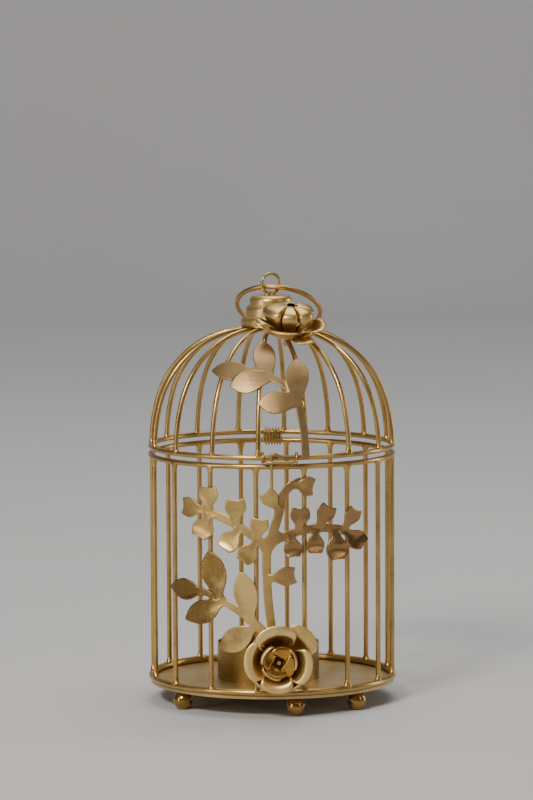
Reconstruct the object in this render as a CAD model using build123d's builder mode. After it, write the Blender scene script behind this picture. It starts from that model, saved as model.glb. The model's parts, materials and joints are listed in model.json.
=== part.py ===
from build123d import *
from math import acos, atan2, cos, degrees, hypot, pi, radians, sin, sqrt
import os

# Wire bird-cage tealight holder with a hinged dome lid, a flower vine and roses.
# Millimetres, +Z up, origin on the floor under the cage axis, front towards -Y.
# Angles round the cage count from the front, positive towards +X.

os.makedirs("parts", exist_ok=True)

# Wires and rings
RING_R = 48.65
BASE_WIRE_D = 2.7
RING_WIRE_D = 2.1
BAR_D = 1.95
BAR_COUNT = 16
BAR_PHASE = -7.0
DOME_WIRE_PHASE = -5.9
CAGE_H = 89.8
RING_STEP = 3.5
SOLDER_GAP = 0.02

# Base plate, feet and candle cup
FOOT_D = 7.7
FOOT_FLAT = 0.2
FOOT_INSET = 3.45
FOOT_ANGLES = (12.0, -52.0, 48.0, 185.0)
PLATE_LIP = 0.55
PLATE_T = 1.1
CUP_OD = 41.0
CUP_WALL = 0.6
CUP_H = 14.7
CUP_X = -1.7

# Dome and its cap
DOME_RISE = 47.0
DOME_FLAT_R = 8.4
SHOULDER_TURN = 16.5
WIRE_END_R = 6.5
CROWN_R = 11.6
CROWN_T = 0.8
# each tier of the cap: radius, height of its straight wall, height of its rounded shoulder
CAP_TIERS = ((12.1, 1.2, 2.2), (10.1, 2.2, 2.2), (8.5, 1.6, 2.2))
CAP_TOP_R = 6.2
CAP_T = 0.8

# Hanger eye and hanging ring
EYE_R = 4.0
EYE_WIRE_D = 1.2
EYE_TURN = 26.0
HANGER_R = 17.0
HANGER_WIRE_D = 1.95
HANGER_TURN = -12.6
HANGER_DROP = 1.2
REST_GAP = 0.3

# Hinge coil round the two rings at the back
COIL_WIRE_D = 0.7
COIL_TURNS = 6
COIL_PITCH = 1.15
COIL_PLAY = 0.35

# Latch bail on the dome ring and catch hook on the vine
BAIL_WIRE_D = 1.1
BAIL_PLAY = 0.15
BAIL_ANGLES = (-3.8, 11.9)
BAIL_REACH = 5.4
BAIL_DROOP = 15.0
BAIL_CORNER_R = 3.4
HOOK_WIRE_D = 1.2
HOOK_X = 0.3
HOOK_TIP_X = 6.1
HOOK_TIP_DROP = 3.0
HOOK_RISE = 2.4
HOOK_SEAT_H = 2.6
HOOK_CORNER_R = 0.9

# Sheet leaves, drawn as seen from the front on a cage of the drawn size
SHEET_T = 0.8
DOME_SHEET_T = 0.7
DRAWN_RING_R = 48.65
DRAWN_CAGE_H = 89.8
DRAWN_BASE_Z = 9.75
DRAWN_DOME_RISE = 47.0
DRAWN_DOME_Z = 103.05
DRAWN_HOOK_Z = 91.0
NECK_W = 1.9
PAD_R = 4.2
STALK_W = 3.0
BRANCH_W = 2.6
TWIG_W = 2.2

# Leaf shape, as shares of a leaf's length and width
TULIP_NECK_TO = 0.3
TULIP_FULL_AT = 0.42
TULIP_FULL = 0.68
TULIP_CORNER = 0.4
TULIP_HOLLOW_AT = 0.91
POINTED_BELLY_AT = 0.48
POINTED_BELLY = 0.5

# Roses
ROSE_PETALS = 4
FLOWER_PETALS = 5
PETAL_T = 0.5
ROSE_ANGLE = 2.8
ROSE_H = 13.6
ROSE_OUTER_R = 14.6
ROSE_OUTER_FLOOR_R = 5.0
ROSE_OUTER_H = 5.8
ROSE_OUTER_TURN = 47.0
ROSE_INNER_R = 13.4
ROSE_INNER_FLOOR_R = 4.6
ROSE_INNER_H = 7.8
ROSE_INNER_TURN = 97.0
ROSE_BUD_R = 6.9
ROSE_DEPTH = 10.0
PIN_D = 1.5
PIN_PLAY = 0.04
BUD_HOLE_R = 1.4
SLIT_W = 0.35
FLOWER_OUTER_R = 14.8
FLOWER_FLOOR_R = 5.0
FLOWER_CUP_H = 2.4
FLOWER_LOBE_TURN = -90.0
FLOWER_BUD_R = 10.0
FLOWER_DEPTH = 12.2
FLOWER_TILT = 19.0
FLOWER_TURN = 19.3
FLOWER_REACH = 21.5
FLOWER_LIFT = -0.5
CAP_ROOM = 0.2
STEM_D = 3.0
STEM_H = 4.8

# Petal shape, as shares of a cup's radius and height
WALL_REACH = 0.58
WALL_RISE = 0.6
RIM_REACH = 0.34
RIM_RISE = 0.88
LOBE_CORE = 0.55
LOBE_AT = 0.52
LOBE_SIZE = 0.48
BUD_FLOOR = 0.5
BUD_BELLY_RISE = 0.42
SLIT_FROM = 0.3
SLIT_REACH = 0.92
SLIT_TURN = 18.0

# Heights that follow from the sizes above
PLATE_Z = FOOT_D - 2 * FOOT_FLAT
PLATE_TOP = PLATE_Z + PLATE_T
BASE_RING_Z = PLATE_TOP + BASE_WIRE_D / 2
BODY_RING_Z = BASE_RING_Z + CAGE_H
DOME_RING_Z = BODY_RING_Z + RING_STEP
DOME_TOP_Z = DOME_RING_Z + DOME_RISE
CROWN_Z = DOME_TOP_Z + BAR_D / 2
CAP_Z = CROWN_Z + CROWN_T
CAP_TOP_Z = CAP_Z + sum(wall_h + round_h for _, wall_h, round_h in CAP_TIERS)
CAP_STEP_R = [tier[0] for tier in CAP_TIERS[1:]] + [CAP_TOP_R]
EYE_Z = CAP_TOP_Z + EYE_R + EYE_WIRE_D / 2

# Layers outside the wires
VINE_IN_R = RING_R + max(BAR_D, RING_WIRE_D) / 2 + SOLDER_GAP
VINE_OUT_R = VINE_IN_R + SHEET_T


def radial(angle):
    return Vector(sin(radians(angle)), -cos(radians(angle)), 0)


def tangent(angle):
    return Vector(cos(radians(angle)), sin(radians(angle)), 0)


def radial_plane(angle):
    # x runs outward at this angle, y runs up
    return Plane(origin=(0, 0, 0), x_dir=radial(angle), z_dir=radial(angle).cross(Vector(0, 0, 1)))


def side_plane(base):
    # the plane through a flower's axis: x across, y along the axis
    return Plane(origin=base.origin, x_dir=base.x_dir, z_dir=-base.y_dir)


def save(piece, name):
    piece.part.label = name
    export_step(piece.part, f"parts/{name}.step")


# Base plate, base ring and ball feet
with BuildPart() as base_plate:
    with BuildSketch(Plane.XY.offset(PLATE_Z)):
        Circle(RING_R + PLATE_LIP)
    extrude(amount=PLATE_T)
save(base_plate, "base_plate")

with BuildPart(Plane.XY.offset(BASE_RING_Z)) as base_ring:
    Torus(RING_R, BASE_WIRE_D / 2)
save(base_ring, "base_ring")

for number, angle in enumerate(FOOT_ANGLES, start=1):
    centre = radial(angle) * (RING_R - FOOT_INSET) + Vector(0, 0, FOOT_D / 2 - FOOT_FLAT)
    with BuildPart() as ball_foot:
        with BuildSketch(Plane(centre, x_dir=(1, 0, 0), z_dir=(0, -1, 0))):
            Circle(FOOT_D / 2)
            with Locations((FOOT_D / 2, 0)):
                Rectangle(FOOT_D, FOOT_D - 2 * FOOT_FLAT, mode=Mode.INTERSECT)
        revolve(axis=Axis(centre, (0, 0, 1)))
    save(ball_foot, f"ball_foot_{number}")

# Candle cup, an open drum on the plate
with BuildPart() as candle_cup:
    with BuildSketch(Plane.XY.offset(PLATE_TOP)):
        with Locations((CUP_X, 0)):
            Circle(CUP_OD / 2)
    extrude(amount=CUP_H)
    with BuildSketch(Plane.XY.offset(PLATE_TOP + CUP_WALL)):
        with Locations((CUP_X, 0)):
            Circle(CUP_OD / 2 - CUP_WALL)
    extrude(amount=CUP_H, mode=Mode.SUBTRACT)
save(candle_cup, "candle_cup")

# Body ring and the upright bars, each coped on both rings
with BuildPart(Plane.XY.offset(BODY_RING_Z)) as body_ring:
    Torus(RING_R, RING_WIRE_D / 2)
save(body_ring, "body_ring")

for number in range(BAR_COUNT):
    foot = radial(BAR_PHASE + number * 360 / BAR_COUNT) * RING_R + Vector(0, 0, BASE_RING_Z)
    with BuildPart() as cage_bar:
        with BuildSketch(Plane(foot)):
            Circle(BAR_D / 2)
        extrude(amount=CAGE_H)
        add(base_ring.part, mode=Mode.SUBTRACT)
        add(body_ring.part, mode=Mode.SUBTRACT)
    save(cage_bar, f"cage_bar_{number + 1:02d}")

# Dome ring and dome wires: two tangent arcs from upright at the ring to level under the cap
with BuildPart(Plane.XY.offset(DOME_RING_Z)) as dome_ring:
    Torus(RING_R, RING_WIRE_D / 2)
save(dome_ring, "dome_ring")

turn_sin = sin(radians(SHOULDER_TURN))
turn_cos = cos(radians(SHOULDER_TURN))
dome_reach = RING_R - DOME_FLAT_R
arc_det = (1 - turn_cos) * (1 - turn_sin) - turn_sin * turn_cos
WALL_ARC_R = (dome_reach * (1 - turn_sin) - DOME_RISE * turn_cos) / arc_det
CROWN_ARC_R = (DOME_RISE * (1 - turn_cos) - dome_reach * turn_sin) / arc_det


def dome_line(offset_by, end_r):
    # the dome wire's line, or one a set distance outside it, in a radial plane
    wall = JernArc((RING_R + offset_by, DOME_RING_Z), (0, 1), WALL_ARC_R + offset_by, SHOULDER_TURN)
    crown = JernArc(wall @ 1, wall % 1, CROWN_ARC_R + offset_by, 90 - SHOULDER_TURN)
    return Line(crown @ 1, (end_r, DOME_TOP_Z + offset_by))


dome_wires = []
for number in range(BAR_COUNT):
    wire_plane = radial_plane(DOME_WIRE_PHASE + number * 360 / BAR_COUNT)
    with BuildPart() as dome_wire:
        with BuildLine(wire_plane):
            dome_line(0, WIRE_END_R)
        with BuildSketch(Plane(wire_plane.x_dir * RING_R + Vector(0, 0, DOME_RING_Z))):
            Circle(BAR_D / 2)
        sweep()
        add(dome_ring.part, mode=Mode.SUBTRACT)
    save(dome_wire, f"dome_wire_{number + 1:02d}")
    dome_wires.append(dome_wire.part)

# Crown plate under the cap: the wire ends are soldered below it and the cap above it
with BuildPart() as crown_plate:
    with BuildSketch(Plane.XY.offset(CROWN_Z)):
        Circle(CROWN_R)
    extrude(amount=CROWN_T)
save(crown_plate, "crown_plate")

# Cap, spun in three rounded tiers over the crown plate
with BuildPart() as cap:
    with BuildSketch(Plane.XZ):
        with BuildLine():
            height = CAP_Z
            Line((0, height), (CAP_TIERS[0][0], height))
            for (tier_r, wall_h, round_h), next_r in zip(CAP_TIERS, CAP_STEP_R):
                wall = Line((tier_r, height), (tier_r, height + wall_h))
                height = height + wall_h + round_h
                TangentArc(wall @ 1, (next_r, height), tangent=(0, 1))
            Line((CAP_STEP_R[-1], height), (0, height))
            Line((0, height), (0, CAP_Z))
        make_face()
    revolve(axis=Axis.Z)
    offset(amount=-CAP_T, openings=cap.faces().sort_by(Axis.Z)[0])
save(cap, "cap")

# Hanger eye, soldered upright on the cap
eye_plane = Plane(origin=(0, 0, EYE_Z), x_dir=tangent(EYE_TURN), z_dir=-radial(EYE_TURN))
with BuildPart(eye_plane) as hanger_eye:
    Torus(EYE_R, EYE_WIRE_D / 2)
save(hanger_eye, "hanger_eye")

# Hanging ring, threaded through the eye and laid back until it rests on the dome wires
hanger_pivot = Vector(0, 0, EYE_Z - HANGER_DROP)
crown_centre_drop = hanger_pivot.Z - (DOME_TOP_Z - CROWN_ARC_R)
centre_span = hypot(DOME_FLAT_R, crown_centre_drop)
touch_r = CROWN_ARC_R + BAR_D / 2 + HANGER_WIRE_D / 2 + REST_GAP
rest_share = ((2 * HANGER_R) ** 2 + centre_span**2 - touch_r**2) / (4 * HANGER_R * centre_span)
HANGER_REST = degrees(atan2(crown_centre_drop, DOME_FLAT_R) - acos(rest_share))
hanger_line = tangent(HANGER_TURN)
hanger_fall = -radial(HANGER_TURN) * cos(radians(HANGER_REST))
hanger_fall = hanger_fall - Vector(0, 0, 1) * sin(radians(HANGER_REST))
hanger_plane = Plane(
    origin=hanger_pivot + hanger_fall * HANGER_R,
    x_dir=hanger_line,
    z_dir=hanger_line.cross(hanger_fall),
)
with BuildPart(hanger_plane) as hanging_ring:
    Torus(HANGER_R, HANGER_WIRE_D / 2)
save(hanging_ring, "hanging_ring")

# Hinge coil: one wire wound round both rings at the back, tight on the dome ring
coil_r = RING_WIRE_D / 2 + COIL_PLAY + COIL_WIRE_D / 2
coil_low_z = BODY_RING_Z
coil_high_z = DOME_RING_Z + SOLDER_GAP - COIL_PLAY
coil_run = coil_high_z - coil_low_z
half_round = pi * coil_r
coil_loop = 2 * (coil_run + half_round)
coil_slope = COIL_PITCH / coil_loop
coil_start_x = -COIL_TURNS * COIL_PITCH / 2


def coil_point(travel):
    # place and heading on the loop after a length of travel, climbing steadily along X
    place = travel % coil_loop
    if place < coil_run:
        across, height, heading = -coil_r, coil_low_z + place, Vector(0, 0, 1)
    elif place < coil_run + half_round:
        swing = (place - coil_run) / coil_r
        across, height = -coil_r * cos(swing), coil_high_z + coil_r * sin(swing)
        heading = Vector(0, sin(swing), cos(swing))
    elif place < 2 * coil_run + half_round:
        across, height = coil_r, coil_high_z - (place - coil_run - half_round)
        heading = Vector(0, 0, -1)
    else:
        swing = (place - 2 * coil_run - half_round) / coil_r
        across, height = coil_r * cos(swing), coil_low_z - coil_r * sin(swing)
        heading = Vector(0, -sin(swing), -cos(swing))
    spot = Vector(coil_start_x + coil_slope * travel, RING_R + across, height)
    return spot, (heading + Vector(coil_slope, 0, 0)).normalized()


def biarc(start, start_way, end, end_way):
    # two tangent arcs that leave and arrive in the given directions
    chord = end - start
    ways = start_way + end_way
    spread = 2 * (1 - start_way.dot(end_way))
    reach = (-chord.dot(ways) + sqrt(chord.dot(ways) ** 2 + spread * chord.dot(chord))) / spread
    middle = (start + end + (start_way - end_way) * reach) / 2
    middle_way = (end - end_way * reach - start - start_way * reach).normalized()
    TangentArc(start, middle, tangent=start_way)
    TangentArc(middle, end, tangent=middle_way)


side_stops = (0, coil_run, coil_run + half_round / 2)
coil_stops = [
    turn * coil_loop + side * coil_loop / 2 + stop
    for turn in range(COIL_TURNS)
    for side in range(2)
    for stop in side_stops
]
coil_stops += [COIL_TURNS * coil_loop, COIL_TURNS * coil_loop + coil_run]

with BuildPart() as hinge_coil:
    with BuildLine() as coil_path:
        for first, second in zip(coil_stops, coil_stops[1:]):
            # stops fall just inside each stretch so that its own heading is read
            first_spot, first_way = coil_point(first + 1e-9)
            second_spot, second_way = coil_point(second - 1e-9)
            if (first_way - second_way).length < 1e-6:
                Line(first_spot, second_spot)
            else:
                biarc(first_spot, first_way, second_spot, second_way)
    with BuildSketch(Plane(coil_path.line @ 0, z_dir=coil_path.line % 0)):
        Circle(COIL_WIRE_D / 2)
    sweep()
save(hinge_coil, "hinge_coil")

coil_samples = [coil_point(coil_loop * step / 48)[0] for step in range(48 * COIL_TURNS)]
coil_gap = min(
    (coil_samples[later] - coil_samples[early]).length
    for early in range(len(coil_samples))
    for later in range(early + 24, len(coil_samples))
)
print("hinge coil least gap to itself, mm:", round(coil_gap - COIL_WIRE_D, 3))

# Latch bail: a bow whose two eyes turn on the dome ring
bail_middle = sum(BAIL_ANGLES) / 2
bail_spread = (BAIL_ANGLES[1] - BAIL_ANGLES[0]) / 2
bail_half = RING_R * sin(radians(bail_spread))
bail_axis_r = RING_R * cos(radians(bail_spread))
bail_eye_r = RING_WIRE_D / 2 + BAIL_PLAY + BAIL_WIRE_D / 2
bail_centre = radial(bail_middle) * bail_axis_r + Vector(0, 0, DOME_RING_Z)
bail_way = radial(bail_middle) * cos(radians(BAIL_DROOP)) - Vector(0, 0, 1) * sin(radians(BAIL_DROOP))
bail_plane = Plane(
    origin=bail_centre,
    x_dir=tangent(bail_middle),
    z_dir=tangent(bail_middle).cross(bail_way),
)
with BuildPart() as latch_bail:
    with BuildLine(bail_plane) as bail_path:
        FilletPolyline(
            (-bail_half, bail_eye_r),
            (-bail_half, BAIL_REACH),
            (bail_half, BAIL_REACH),
            (bail_half, bail_eye_r),
            radius=BAIL_CORNER_R,
        )
    with BuildSketch(Plane(bail_path.line @ 0, z_dir=bail_path.line % 0)):
        Circle(BAIL_WIRE_D / 2)
    sweep()
    for side in (-bail_half, bail_half):
        with Locations(Plane(bail_centre + tangent(bail_middle) * side, z_dir=tangent(bail_middle))):
            Torus(bail_eye_r, BAIL_WIRE_D / 2)
save(latch_bail, "latch_bail")


# Sheet work: leaf outlines are (x, z) as seen from the front
def leaf_spot(neck, heading, along, across):
    turn = radians(heading)
    return (
        neck.X + along * sin(turn) + across * cos(turn),
        neck.Y + along * cos(turn) - across * sin(turn),
    )


def tulip_leaf(neck, heading, length, width):
    # a drawn-in neck, full sides and a hollow tip between two corners
    def spot(along, across):
        return leaf_spot(neck, heading, along * length, across * width)

    def side(hand):
        Bezier(
            spot(0, hand * NECK_W / 2 / width),
            spot(TULIP_NECK_TO, hand * NECK_W / 2 / width),
            spot(TULIP_FULL_AT, hand * TULIP_FULL),
            spot(1, hand * TULIP_CORNER),
        )

    with BuildLine() as outline:
        side(1)
        side(-1)
        ThreePointArc(spot(1, -TULIP_CORNER), spot(TULIP_HOLLOW_AT, 0), spot(1, TULIP_CORNER))
        Line(spot(0, NECK_W / 2 / width), spot(0, -NECK_W / 2 / width))
    make_face(outline.edges())


def pointed_leaf(neck, heading, length, width):
    # two arcs from the neck to a pointed tip
    def spot(along, across):
        return leaf_spot(neck, heading, along * length, across * width)

    shoulder = NECK_W / 2 / width
    with BuildLine() as outline:
        ThreePointArc(spot(0, -shoulder), spot(POINTED_BELLY_AT, -POINTED_BELLY), spot(1, 0))
        ThreePointArc(spot(1, 0), spot(POINTED_BELLY_AT, POINTED_BELLY), spot(0, shoulder))
        Line(spot(0, shoulder), spot(0, -shoulder))
    make_face(outline.edges())


def branch(width, start, middle, end, leaf_form, leaves):
    # a bowed strip and its leaves: share along the strip, heading, length, width
    with BuildLine() as route:
        ThreePointArc(start, middle, end)
    trace(route.edges(), line_width=width)
    for share, heading, length, leaf_w in leaves:
        leaf_form(route.line @ share, heading, length, leaf_w)


def cage_spot(x, z):
    # a drawn place on the cage front, moved with the real ring and bar sizes
    stretch = CAGE_H / DRAWN_CAGE_H
    return (x * RING_R / DRAWN_RING_R, BASE_RING_Z + (z - DRAWN_BASE_Z) * stretch)


def dome_spot(x, z):
    # a drawn place on the dome front, moved with the real dome
    stretch = DOME_RISE / DRAWN_DOME_RISE
    return (x * RING_R / DRAWN_RING_R, DOME_RING_Z + (z - DRAWN_DOME_Z) * stretch)


ROSE_Z = BASE_RING_Z + ROSE_H
rose_spot = (VINE_OUT_R * sin(radians(ROSE_ANGLE)), ROSE_Z)
rose_plane = Plane(
    origin=radial(ROSE_ANGLE) * (VINE_OUT_R + SOLDER_GAP) + Vector(0, 0, ROSE_Z),
    x_dir=tangent(ROSE_ANGLE),
    z_dir=radial(ROSE_ANGLE),
)

VINE_STALK_LEAVES = [(0.74, 87, 11.3, 5.4)]
VINE_TOP_LEAVES = [(0.82, -36, 9.1, 5.6)]
VINE_CROOK_LEAVES = [(0.88, 95, 7.4, 6.8)]
VINE_RIGHT_LEAVES = [
    (0.38, 4.5, 9.4, 7.0),
    (0.63, 28, 10.0, 7.0),
    (0.98, 30, 9.3, 6.0),
    (0.98, 131, 9.8, 6.6),
    (0.29, 176, 9.2, 6.2),
    (0.605, 182, 9.8, 6.4),
    (0.875, 179, 12.5, 7.4),
]
VINE_LEFT_LEAVES = [
    (0.19, 7, 8.6, 7.0),
    (0.535, -1, 10.5, 7.4),
    (0.915, -2.4, 10.1, 7.4),
    (0.975, -83, 8.5, 7.4),
    (0.19, 214, 10.5, 6.5),
    (0.465, 219, 10.5, 7.0),
    (0.89, 209.5, 11.0, 7.2),
]
fork_spot = cage_spot(-1.7, 67.6)
with BuildPart() as flower_vine:
    with BuildSketch(Plane.XZ):
        branch(STALK_W, rose_spot, cage_spot(-1.4, 49.0), fork_spot, tulip_leaf, VINE_STALK_LEAVES)
        branch(STALK_W, fork_spot, cage_spot(2.3, 78.6), cage_spot(3.9, 85.6), tulip_leaf, VINE_TOP_LEAVES)
        crook_line = (cage_spot(3.8, 85.0), cage_spot(5.4, 89.0), cage_spot(8.4, 91.8))
        branch(BRANCH_W, *crook_line, tulip_leaf, VINE_CROOK_LEAVES)
        right_line = (cage_spot(0.4, 71.2), cage_spot(14.0, 74.6), cage_spot(29.0, 73.4))
        branch(BRANCH_W, *right_line, tulip_leaf, VINE_RIGHT_LEAVES)
        left_line = (fork_spot, cage_spot(-13.2, 76.2), cage_spot(-26.8, 82.0))
        branch(BRANCH_W, *left_line, tulip_leaf, VINE_LEFT_LEAVES)
        with Locations(rose_spot):
            Circle(PAD_R)
    extrude(amount=VINE_OUT_R + SHEET_T)
    with BuildSketch(Plane.XY):
        Circle(VINE_OUT_R)
        Circle(VINE_IN_R, mode=Mode.SUBTRACT)
    extrude(amount=BODY_RING_Z, mode=Mode.INTERSECT)
    with BuildSketch(rose_plane):
        Circle(PIN_D / 2 + PIN_PLAY)
    extrude(amount=2 * SHEET_T, both=True, mode=Mode.SUBTRACT)
save(flower_vine, "flower_vine")

SPRAY_STALK_LEAVES = [(0.56, -118, 16.5, 8.6)]
SPRAY_TWIG_LEAVES = [(0.03, -12, 18.2, 7.6), (0.955, -14.6, 19.6, 8.4), (0.81, -118, 17.3, 7.6)]
SPRAY_END_LEAVES = [(0.85, -86, 12.4, 8.0)]
with BuildPart() as leaf_spray:
    with BuildSketch(Plane.XZ):
        stalk_line = (cage_spot(-1.6, 24.6), cage_spot(-6.0, 31.8), cage_spot(-8.8, 41.6))
        branch(STALK_W, *stalk_line, pointed_leaf, SPRAY_STALK_LEAVES)
        twig_line = (cage_spot(-8.4, 39.6), cage_spot(-15.0, 44.6), cage_spot(-23.0, 47.2))
        branch(TWIG_W, *twig_line, pointed_leaf, SPRAY_TWIG_LEAVES)
        end_line = (cage_spot(-22.0, 47.0), cage_spot(-25.0, 48.8), cage_spot(-28.0, 49.3))
        branch(TWIG_W, *end_line, pointed_leaf, SPRAY_END_LEAVES)
        with Locations(rose_spot):
            Circle(PAD_R + SOLDER_GAP, mode=Mode.SUBTRACT)
    extrude(amount=VINE_OUT_R + SHEET_T)
    with BuildSketch(Plane.XY):
        Circle(VINE_OUT_R)
        Circle(VINE_IN_R, mode=Mode.SUBTRACT)
    extrude(amount=BODY_RING_Z, mode=Mode.INTERSECT)
save(leaf_spray, "leaf_spray")

# Catch hook: a bent wire soldered on the vine's top leaf, its tip inside the bail
hook_y = -(VINE_OUT_R + SOLDER_GAP + HOOK_WIRE_D / 2)
hook_top = DOME_RING_Z + HOOK_RISE
hook_foot = cage_spot(HOOK_X, DRAWN_HOOK_Z)[1] - HOOK_SEAT_H
with BuildPart() as catch_hook:
    with BuildLine(Plane.XZ.offset(-hook_y)) as hook_path:
        FilletPolyline(
            (HOOK_X, hook_foot),
            (HOOK_X, hook_top),
            (HOOK_TIP_X, hook_top - HOOK_TIP_DROP),
            radius=HOOK_CORNER_R,
        )
    with BuildSketch(Plane(hook_path.line @ 0, z_dir=hook_path.line % 0)):
        Circle(HOOK_WIRE_D / 2)
    sweep()
save(catch_hook, "catch_hook")

# Leaf branch on the dome, a sheet bent over the wires and soldered to the dome ring
DOME_STALK_LEAVES = [(0.87, -96, 15.3, 8.0), (0.955, -1.4, 15.0, 8.4)]
DOME_TWIG_LEAVES = [(0.965, -13, 12.8, 8.2), (0.955, -104, 15.3, 7.2)]
DOME_END_LEAVES = [(0.835, -92.5, 17.0, 6.0)]
dome_sheet_in = RING_WIRE_D / 2 + SOLDER_GAP
dome_sheet_out = dome_sheet_in + DOME_SHEET_T
with BuildPart() as dome_leaf_branch:
    with BuildSketch(Plane.XZ):
        stalk_line = (dome_spot(13.6, 102.6), dome_spot(12.9, 114.0), dome_spot(10.2, 126.4))
        branch(STALK_W, *stalk_line, pointed_leaf, DOME_STALK_LEAVES)
        twig_line = (dome_spot(10.6, 125.8), dome_spot(5.4, 131.2), dome_spot(-1.4, 134.4))
        branch(TWIG_W, *twig_line, pointed_leaf, DOME_TWIG_LEAVES)
        end_line = (dome_spot(-0.6, 134.2), dome_spot(-3.6, 136.2), dome_spot(-7.2, 136.4))
        branch(TWIG_W, *end_line, pointed_leaf, DOME_END_LEAVES)
    extrude(amount=RING_R + dome_sheet_out + DOME_SHEET_T)
    with BuildSketch(Plane.XZ):
        with BuildLine():
            inner_end = dome_line(dome_sheet_in, 0)
            outer_end = dome_line(dome_sheet_out, 0)
            Line(inner_end @ 1, outer_end @ 1)
            Line((RING_R + dome_sheet_in, DOME_RING_Z), (RING_R + dome_sheet_out, DOME_RING_Z))
        make_face()
    revolve(axis=Axis.Z, mode=Mode.INTERSECT)
save(dome_leaf_branch, "dome_leaf_branch")


# Rose pieces: thin pressed cups cut into rounded lobes, stacked on a pin
def petal_cup(base, petals, rise_from, radius, floor_r, depth, first_lobe):
    # a cup with an out-turned rim, in the named part's own frame
    wall_r = floor_r + WALL_REACH * (radius - floor_r)
    with BuildSketch(side_plane(base)) as profile:
        with BuildLine():
            floor = Line((PIN_D / 2 + PIN_PLAY, rise_from), (floor_r, rise_from))
            wall = TangentArc(floor @ 1, (wall_r, rise_from + WALL_RISE * depth), tangent=floor % 1)
            ThreePointArc(
                wall @ 1,
                (wall_r + RIM_REACH * (radius - wall_r), rise_from + RIM_RISE * depth),
                (radius, rise_from + depth),
            )
        trace(line_width=PETAL_T)
    revolve(profile.sketch, axis=Axis(base.origin, base.z_dir))
    with BuildSketch(base) as lobes:
        Circle(LOBE_CORE * radius)
        with PolarLocations(LOBE_AT * radius, petals, start_angle=first_lobe):
            Circle(LOBE_SIZE * radius)
    extrude(lobes.sketch, amount=2 * depth, both=True, mode=Mode.INTERSECT)


def closed_bud(base, petals, rise_from, radius, depth):
    # petals folded together: a dome with a hole at the apex and slits between the petals
    with BuildSketch(side_plane(base)) as profile:
        with BuildLine():
            floor = Line((PIN_D / 2 + PIN_PLAY, rise_from), (BUD_FLOOR * radius, rise_from))
            belly = TangentArc(floor @ 1, (radius, rise_from + BUD_BELLY_RISE * depth), tangent=floor % 1)
            TangentArc(belly @ 1, (BUD_HOLE_R, rise_from + depth), tangent=belly % 1)
        trace(line_width=PETAL_T)
    revolve(profile.sketch, axis=Axis(base.origin, base.z_dir))
    with BuildSketch(base.offset(rise_from + SLIT_FROM * depth)) as slits:
        with PolarLocations(SLIT_REACH * radius / 2, petals, start_angle=SLIT_TURN):
            Rectangle(SLIT_REACH * radius, SLIT_W)
    extrude(slits.sketch, amount=2 * depth, mode=Mode.SUBTRACT)


outer_floor = PETAL_T / 2
inner_floor = outer_floor + PETAL_T + SOLDER_GAP
bud_floor = inner_floor + PETAL_T + SOLDER_GAP

with BuildPart() as rose_outer_petals:
    outer_cup = (ROSE_OUTER_R, ROSE_OUTER_FLOOR_R, ROSE_OUTER_H, ROSE_OUTER_TURN)
    petal_cup(rose_plane, ROSE_PETALS, outer_floor, *outer_cup)
save(rose_outer_petals, "rose_outer_petals")

with BuildPart() as rose_inner_petals:
    inner_cup = (ROSE_INNER_R, ROSE_INNER_FLOOR_R, ROSE_INNER_H, ROSE_INNER_TURN)
    petal_cup(rose_plane, ROSE_PETALS, inner_floor, *inner_cup)
save(rose_inner_petals, "rose_inner_petals")

with BuildPart() as rose_bud:
    closed_bud(rose_plane, ROSE_PETALS, bud_floor, ROSE_BUD_R, ROSE_DEPTH - bud_floor)
save(rose_bud, "rose_bud")

with BuildPart() as rose_pin:
    with BuildSketch(rose_plane.offset(-SHEET_T - 4 * SOLDER_GAP)):
        Circle(PIN_D / 2)
    extrude(amount=SHEET_T + ROSE_DEPTH - PIN_D)
    with BuildSketch(rose_plane.offset(-SHEET_T - 4 * SOLDER_GAP)):
        Circle(PIN_D)
    extrude(amount=-PETAL_T)
save(rose_pin, "rose_pin")

# Cap flower in front of the cap, cut away for it, on a short stem coped to the wires, plate and cap
flower_way = radial(FLOWER_TURN)
flower_axis = flower_way * sin(radians(FLOWER_TILT)) + Vector(0, 0, 1) * cos(radians(FLOWER_TILT))
flower_plane = Plane(
    origin=flower_way * FLOWER_REACH + Vector(0, 0, DOME_TOP_Z + FLOWER_LIFT),
    x_dir=tangent(FLOWER_TURN),
    z_dir=flower_axis,
)
with BuildPart() as cap_flower_petals:
    flower_cup = (FLOWER_OUTER_R, FLOWER_FLOOR_R, FLOWER_CUP_H, FLOWER_LOBE_TURN)
    petal_cup(flower_plane, FLOWER_PETALS, outer_floor, *flower_cup)
    with BuildSketch(Plane.XY.offset(CROWN_Z)):
        Circle(CAP_TIERS[0][0] + CAP_ROOM)
    extrude(amount=CAP_TOP_Z - CROWN_Z, mode=Mode.SUBTRACT)
save(cap_flower_petals, "cap_flower_petals")

with BuildPart() as cap_flower_bud:
    closed_bud(flower_plane, FLOWER_PETALS, inner_floor, FLOWER_BUD_R, FLOWER_DEPTH - inner_floor)
save(cap_flower_bud, "cap_flower_bud")

with BuildPart() as cap_flower_stem:
    with BuildSketch(flower_plane):
        Circle(STEM_D / 2)
    extrude(amount=-STEM_H)
    for neighbour in dome_wires + [crown_plate.part, cap.part]:
        add(neighbour, mode=Mode.SUBTRACT)
save(cap_flower_stem, "cap_flower_stem")
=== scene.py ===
import json
import math

import bpy
from mathutils import Matrix, Vector


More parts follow.
